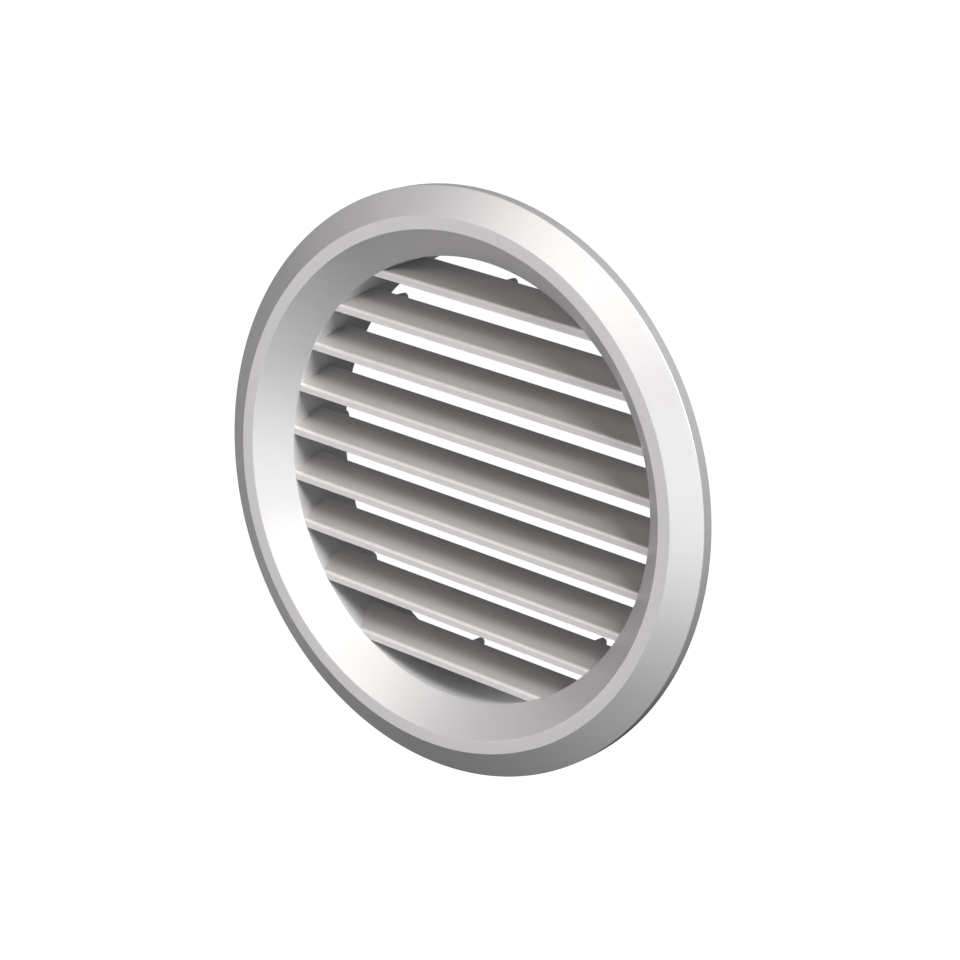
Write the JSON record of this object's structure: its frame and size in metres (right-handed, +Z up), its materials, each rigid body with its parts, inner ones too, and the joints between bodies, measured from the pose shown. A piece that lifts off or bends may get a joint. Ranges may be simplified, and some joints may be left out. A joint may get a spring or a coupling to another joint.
{
  "type": "round fixed-blade air diffuser",
  "caption": "Round wall or ceiling air diffuser: flared satin-silver flange, fixed level blades sloping up to the back, and a short duct spigot held by sprung clips.",
  "frame": {"origin": "on the grille's axis in the plane of the flange's back, which bears on the wall or ceiling lining", "axes": "+Y along the axis into the duct, so the face looks towards -Y; +X along the blades; +Z up, towards which the blades' rear edges rise"},
  "size_m": [0.15, 0.0281, 0.15],
  "materials": {
    "bezel_paint": "satin silver-grey paint",
    "blade_paint": "satin silver-grey paint",
    "carrier_paint": "satin silver-grey paint, thinner coat",
    "gasket_foam": "closed-cell foam, matte",
    "zinc_steel": "zinc plated",
    "rivet_aluminium": "bare, satin",
    "spring_steel": "polished spring steel"
  },
  "bodies": {
    "grille": {"front_bezel": "bezel_paint", "blade_carrier": "carrier_paint", "wall_gasket": "gasket_foam", "carrier_screws": "zinc_steel", "bracket_rivets": "rivet_aluminium", "blade_1": "blade_paint", "blade_2": "blade_paint", "blade_3": "blade_paint", "blade_4": "blade_paint", "blade_5": "blade_paint", "blade_6": "blade_paint", "blade_7": "blade_paint", "blade_8": "blade_paint", "blade_9": "blade_paint", "clip_bracket_top": "zinc_steel", "clip_pin_top": "zinc_steel", "clip_spring_top": "spring_steel", "clip_bracket_right": "zinc_steel", "clip_pin_right": "zinc_steel", "clip_spring_right": "spring_steel", "clip_bracket_left": "zinc_steel", "clip_pin_left": "zinc_steel", "clip_spring_left": "spring_steel"},
    "clip_top": {"clip_arm_top": "spring_steel"},
    "clip_right": {"clip_arm_right": "spring_steel"},
    "clip_left": {"clip_arm_left": "spring_steel"}
  },
  "joints": [
    {"name": "clip_top_fold", "type": "hinge", "parent": "grille", "child": "clip_top", "pos_m": [0, 0.0166, 0.0599], "axis": [1, 0, 0], "range_deg": [0, 28.5], "stiffness_Nm_per_rad": 0.02, "springref_deg": -20.05, "deforming": ["clip_spring_top"]},
    {"name": "clip_right_fold", "type": "hinge", "parent": "grille", "child": "clip_right", "pos_m": [0.05187, 0.0166, -0.02995], "axis": [-0.5, 0, -0.866], "range_deg": [0, 28.5], "stiffness_Nm_per_rad": 0.02, "springref_deg": -20.05, "deforming": ["clip_spring_right"]},
    {"name": "clip_left_fold", "type": "hinge", "parent": "grille", "child": "clip_left", "pos_m": [-0.05187, 0.0166, -0.02995], "axis": [-0.5, 0, 0.866], "range_deg": [0, 28.5], "stiffness_Nm_per_rad": 0.02, "springref_deg": -20.05, "deforming": ["clip_spring_left"]}
  ]
}
